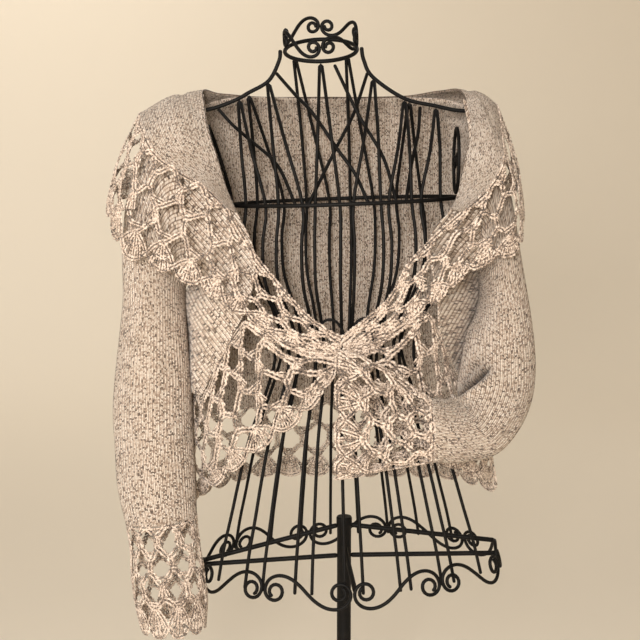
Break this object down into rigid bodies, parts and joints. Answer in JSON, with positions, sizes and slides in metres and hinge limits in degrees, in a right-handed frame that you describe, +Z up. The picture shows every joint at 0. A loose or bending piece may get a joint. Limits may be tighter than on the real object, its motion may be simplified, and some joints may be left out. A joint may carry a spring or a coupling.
{
  "type": "knit cardigan on a wire dress form",
  "caption": "Cropped marled knit cardigan with a wide shawl collar and crochet lace edging, one sleeve bent across the front, on a limbless black wire dress form with a round base.",
  "frame": {"origin": "centre of the underside of the round base, on the floor", "axes": "+Z up, the cardigan's front faces -Y, +X to the viewer's right"},
  "size_m": [0.5478, 0.3283, 1.085],
  "materials": {
    "knit_yarn": "matte",
    "lace_yarn": "matte",
    "wire_paint": "satin",
    "stand_paint": "satin"
  },
  "bodies": {
    "root": {"back_collar_lace": "lace_yarn", "back_knit": "knit_yarn", "back_spoke": "wire_paint", "back_wire_1": "wire_paint", "back_wire_2": "wire_paint", "back_wire_3": "wire_paint", "back_wire_4": "wire_paint", "base": "stand_paint", "bust_ring": "wire_paint", "collar_knit": "knit_yarn", "cross_wire_1": "wire_paint", "cross_wire_2": "wire_paint", "cross_wire_3": "wire_paint", "cross_wire_4": "wire_paint", "cross_wire_5": "wire_paint", "crown_ring": "wire_paint", "crown_scroll_1": "wire_paint", "crown_scroll_2": "wire_paint", "crown_scroll_3": "wire_paint", "crown_scroll_4": "wire_paint", "front_spoke": "wire_paint", "front_wire_1": "wire_paint", "front_wire_2": "wire_paint", "front_wire_3": "wire_paint", "front_wire_4": "wire_paint", "front_wire_5": "wire_paint", "front_wire_6": "wire_paint", "hem_lace": "lace_yarn", "hip_scroll_1": "wire_paint", "hip_scroll_2": "wire_paint", "hip_scroll_3": "wire_paint", "hip_scroll_4": "wire_paint", "hip_scroll_5": "wire_paint", "hip_scroll_6": "wire_paint", "hip_scroll_7": "wire_paint", "hip_scroll_8": "wire_paint", "hip_scroll_9": "wire_paint", "left_armhole_scroll": "wire_paint", "left_armhole_wire": "wire_paint", "left_brace": "wire_paint", "left_collar_lace": "lace_yarn", "left_cuff_back": "lace_yarn", "left_cuff_front": "lace_yarn", "left_front_knit": "knit_yarn", "left_front_lace": "lace_yarn", "left_shoulder_wire": "wire_paint", "left_sleeve": "knit_yarn", "left_spoke": "wire_paint", "post": "stand_paint", "right_armhole_scroll": "wire_paint", "right_armhole_wire": "wire_paint", "right_brace": "wire_paint", "right_collar_lace": "lace_yarn", "right_cuff_back": "lace_yarn", "right_cuff_front": "lace_yarn", "right_front_knit": "knit_yarn", "right_front_lace": "lace_yarn", "right_shoulder_wire": "wire_paint", "right_sleeve": "knit_yarn", "right_spoke": "wire_paint"}
  },
  "joints": []
}
